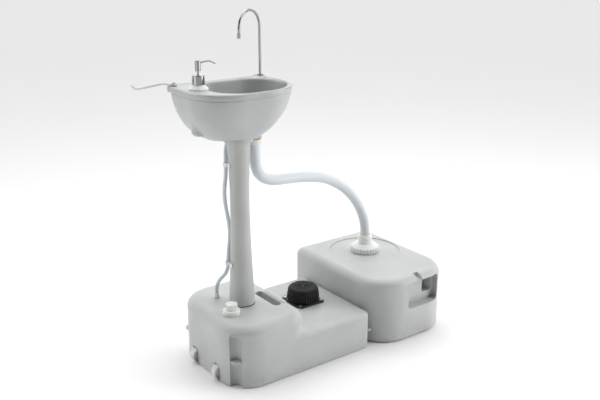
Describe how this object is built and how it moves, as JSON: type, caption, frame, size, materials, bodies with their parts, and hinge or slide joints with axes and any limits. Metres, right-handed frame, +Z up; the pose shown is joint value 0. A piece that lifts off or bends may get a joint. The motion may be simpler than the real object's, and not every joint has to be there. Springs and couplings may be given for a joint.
{
  "type": "portable_handwash_sink",
  "caption": "Portable handwash sink: foot-pumped water tank base with a column-mounted basin, gooseneck faucet, soap pump and towel arm, draining through a hose into a waste tank.",
  "frame": {"origin": "where the column's axis meets the floor, on the underside of the base tank", "axes": "+Z up; +X along the base tank away from its wheels, towards the waste tank; the front of the basin faces -Y"},
  "size_m": [0.946, 0.435, 1.02],
  "materials": {
    "tank_plastic": "moulded, faintly pebbled",
    "column_plastic": "moulded, smooth satin",
    "basin_plastic": "moulded, satin, smoother inside the bowl",
    "waste_plastic": "moulded, faintly pebbled",
    "cap_plastic": "satin, slightly milky",
    "white_plastic": "moulded, glossy",
    "ivory_plastic": "moulded, satin",
    "ring_plastic": "satin, knurled side",
    "inner_plastic": "plain",
    "clear_hose": "clear vinyl",
    "drain_hose_plastic": "milky vinyl",
    "black_rubber": "matt",
    "pump_plastic": "satin",
    "wheel_plastic": "satin, scuffed tread",
    "steel": "satin",
    "arm_plastic": "satin",
    "chrome": "polished"
  },
  "bodies": {
    "body": {"axle_front": "steel", "axle_rear": "steel", "base_tank": "tank_plastic", "basin": "basin_plastic", "column": "column_plastic", "column_ring": "black_rubber", "dip_strainer": "inner_plastic", "dip_tube": "inner_plastic", "drain_hose": "drain_hose_plastic", "drain_nut": "ivory_plastic", "drain_seal": "black_rubber", "drain_spigot": "white_plastic", "drain_strainer": "steel", "faucet_base": "chrome", "faucet_nut": "white_plastic", "faucet_washer": "black_rubber", "fill_cap_seal": "black_rubber", "hose_clip_lower": "white_plastic", "hose_clip_upper": "white_plastic", "hose_ferrule": "ivory_plastic", "inlet_valve": "black_rubber", "outlet_tube": "inner_plastic", "outlet_valve": "black_rubber", "pump_bellows": "black_rubber", "pump_cup": "white_plastic", "pump_flange": "pump_plastic", "pump_gasket": "black_rubber", "pump_screws": "steel", "pump_spring": "steel", "soap_bottle": "white_plastic", "soap_collar": "chrome", "soap_cylinder": "inner_plastic", "soap_dip_tube": "inner_plastic", "soap_seal": "black_rubber", "soap_spring": "steel", "supply_fitting": "white_plastic", "supply_hose": "clear_hose", "towel_screw": "steel", "towel_washer": "black_rubber", "waste_gasket": "black_rubber", "waste_sleeve": "white_plastic", "waste_tank": "waste_plastic"},
    "pump_plunger": {"pump_pedal": "pump_plastic"},
    "filler": {"fill_cap": "cap_plastic"},
    "ring_nut": {"waste_ring": "ring_plastic"},
    "wheel_a": {"wheel_rear": "wheel_plastic"},
    "wheel_b": {"wheel_front": "wheel_plastic"},
    "soap_piston": {"soap_stem": "chrome"},
    "soap_nozzle": {"soap_head": "chrome"},
    "spout": {"faucet_spout": "chrome", "faucet_nozzle": "chrome"},
    "arm": {"towel_arm": "arm_plastic"}
  },
  "joints": [
    {"name": "pump_press", "type": "slide", "parent": "body", "child": "pump_plunger", "axis": [0, 0, -1], "range_m": [0, 0.026], "stiffness_N_per_m": 1500, "springref_m": -0.01, "deforming": ["pump_bellows", "pump_spring"]},
    {"name": "soap_press", "type": "slide", "parent": "body", "child": "soap_piston", "axis": [0, 0, -1], "range_m": [0, 0.009], "stiffness_N_per_m": 600, "springref_m": -0.004, "deforming": ["soap_spring"]},
    {"name": "soap_swivel", "type": "hinge", "parent": "soap_piston", "child": "soap_nozzle", "pos_m": [-0.118, 0, 0.88], "axis": [0, 0, 1], "range_deg": [-150, 150]},
    {"name": "faucet_swivel", "type": "hinge", "parent": "body", "child": "spout", "pos_m": [0.146, 0.107, 0.83], "axis": [0, 0, 1], "range_deg": [-150, 150]},
    {"name": "towel_swivel", "type": "hinge", "parent": "body", "child": "arm", "pos_m": [-0.144, 0.089, 0.831], "axis": [0, 0, 1], "range_deg": [-120, 75]},
    {"name": "wheel_rear_spin", "type": "hinge", "parent": "body", "child": "wheel_a", "pos_m": [-0.12, 0.062, 0.0232], "axis": [0, 1, 0], "continuous": true},
    {"name": "wheel_front_spin", "type": "hinge", "parent": "body", "child": "wheel_b", "pos_m": [-0.12, -0.062, 0.0232], "axis": [0, 1, 0], "continuous": true},
    {"name": "fill_cap_turn", "type": "hinge", "parent": "body", "child": "filler", "pos_m": [-0.066, -0.048, 0.19], "axis": [0, 0, 1], "range_deg": [0, 360]},
    {"name": "waste_ring_turn", "type": "hinge", "parent": "body", "child": "ring_nut", "pos_m": [0.532, 0.068, 0.21], "axis": [0, 0, 1], "range_deg": [0, 360]}
  ]
}
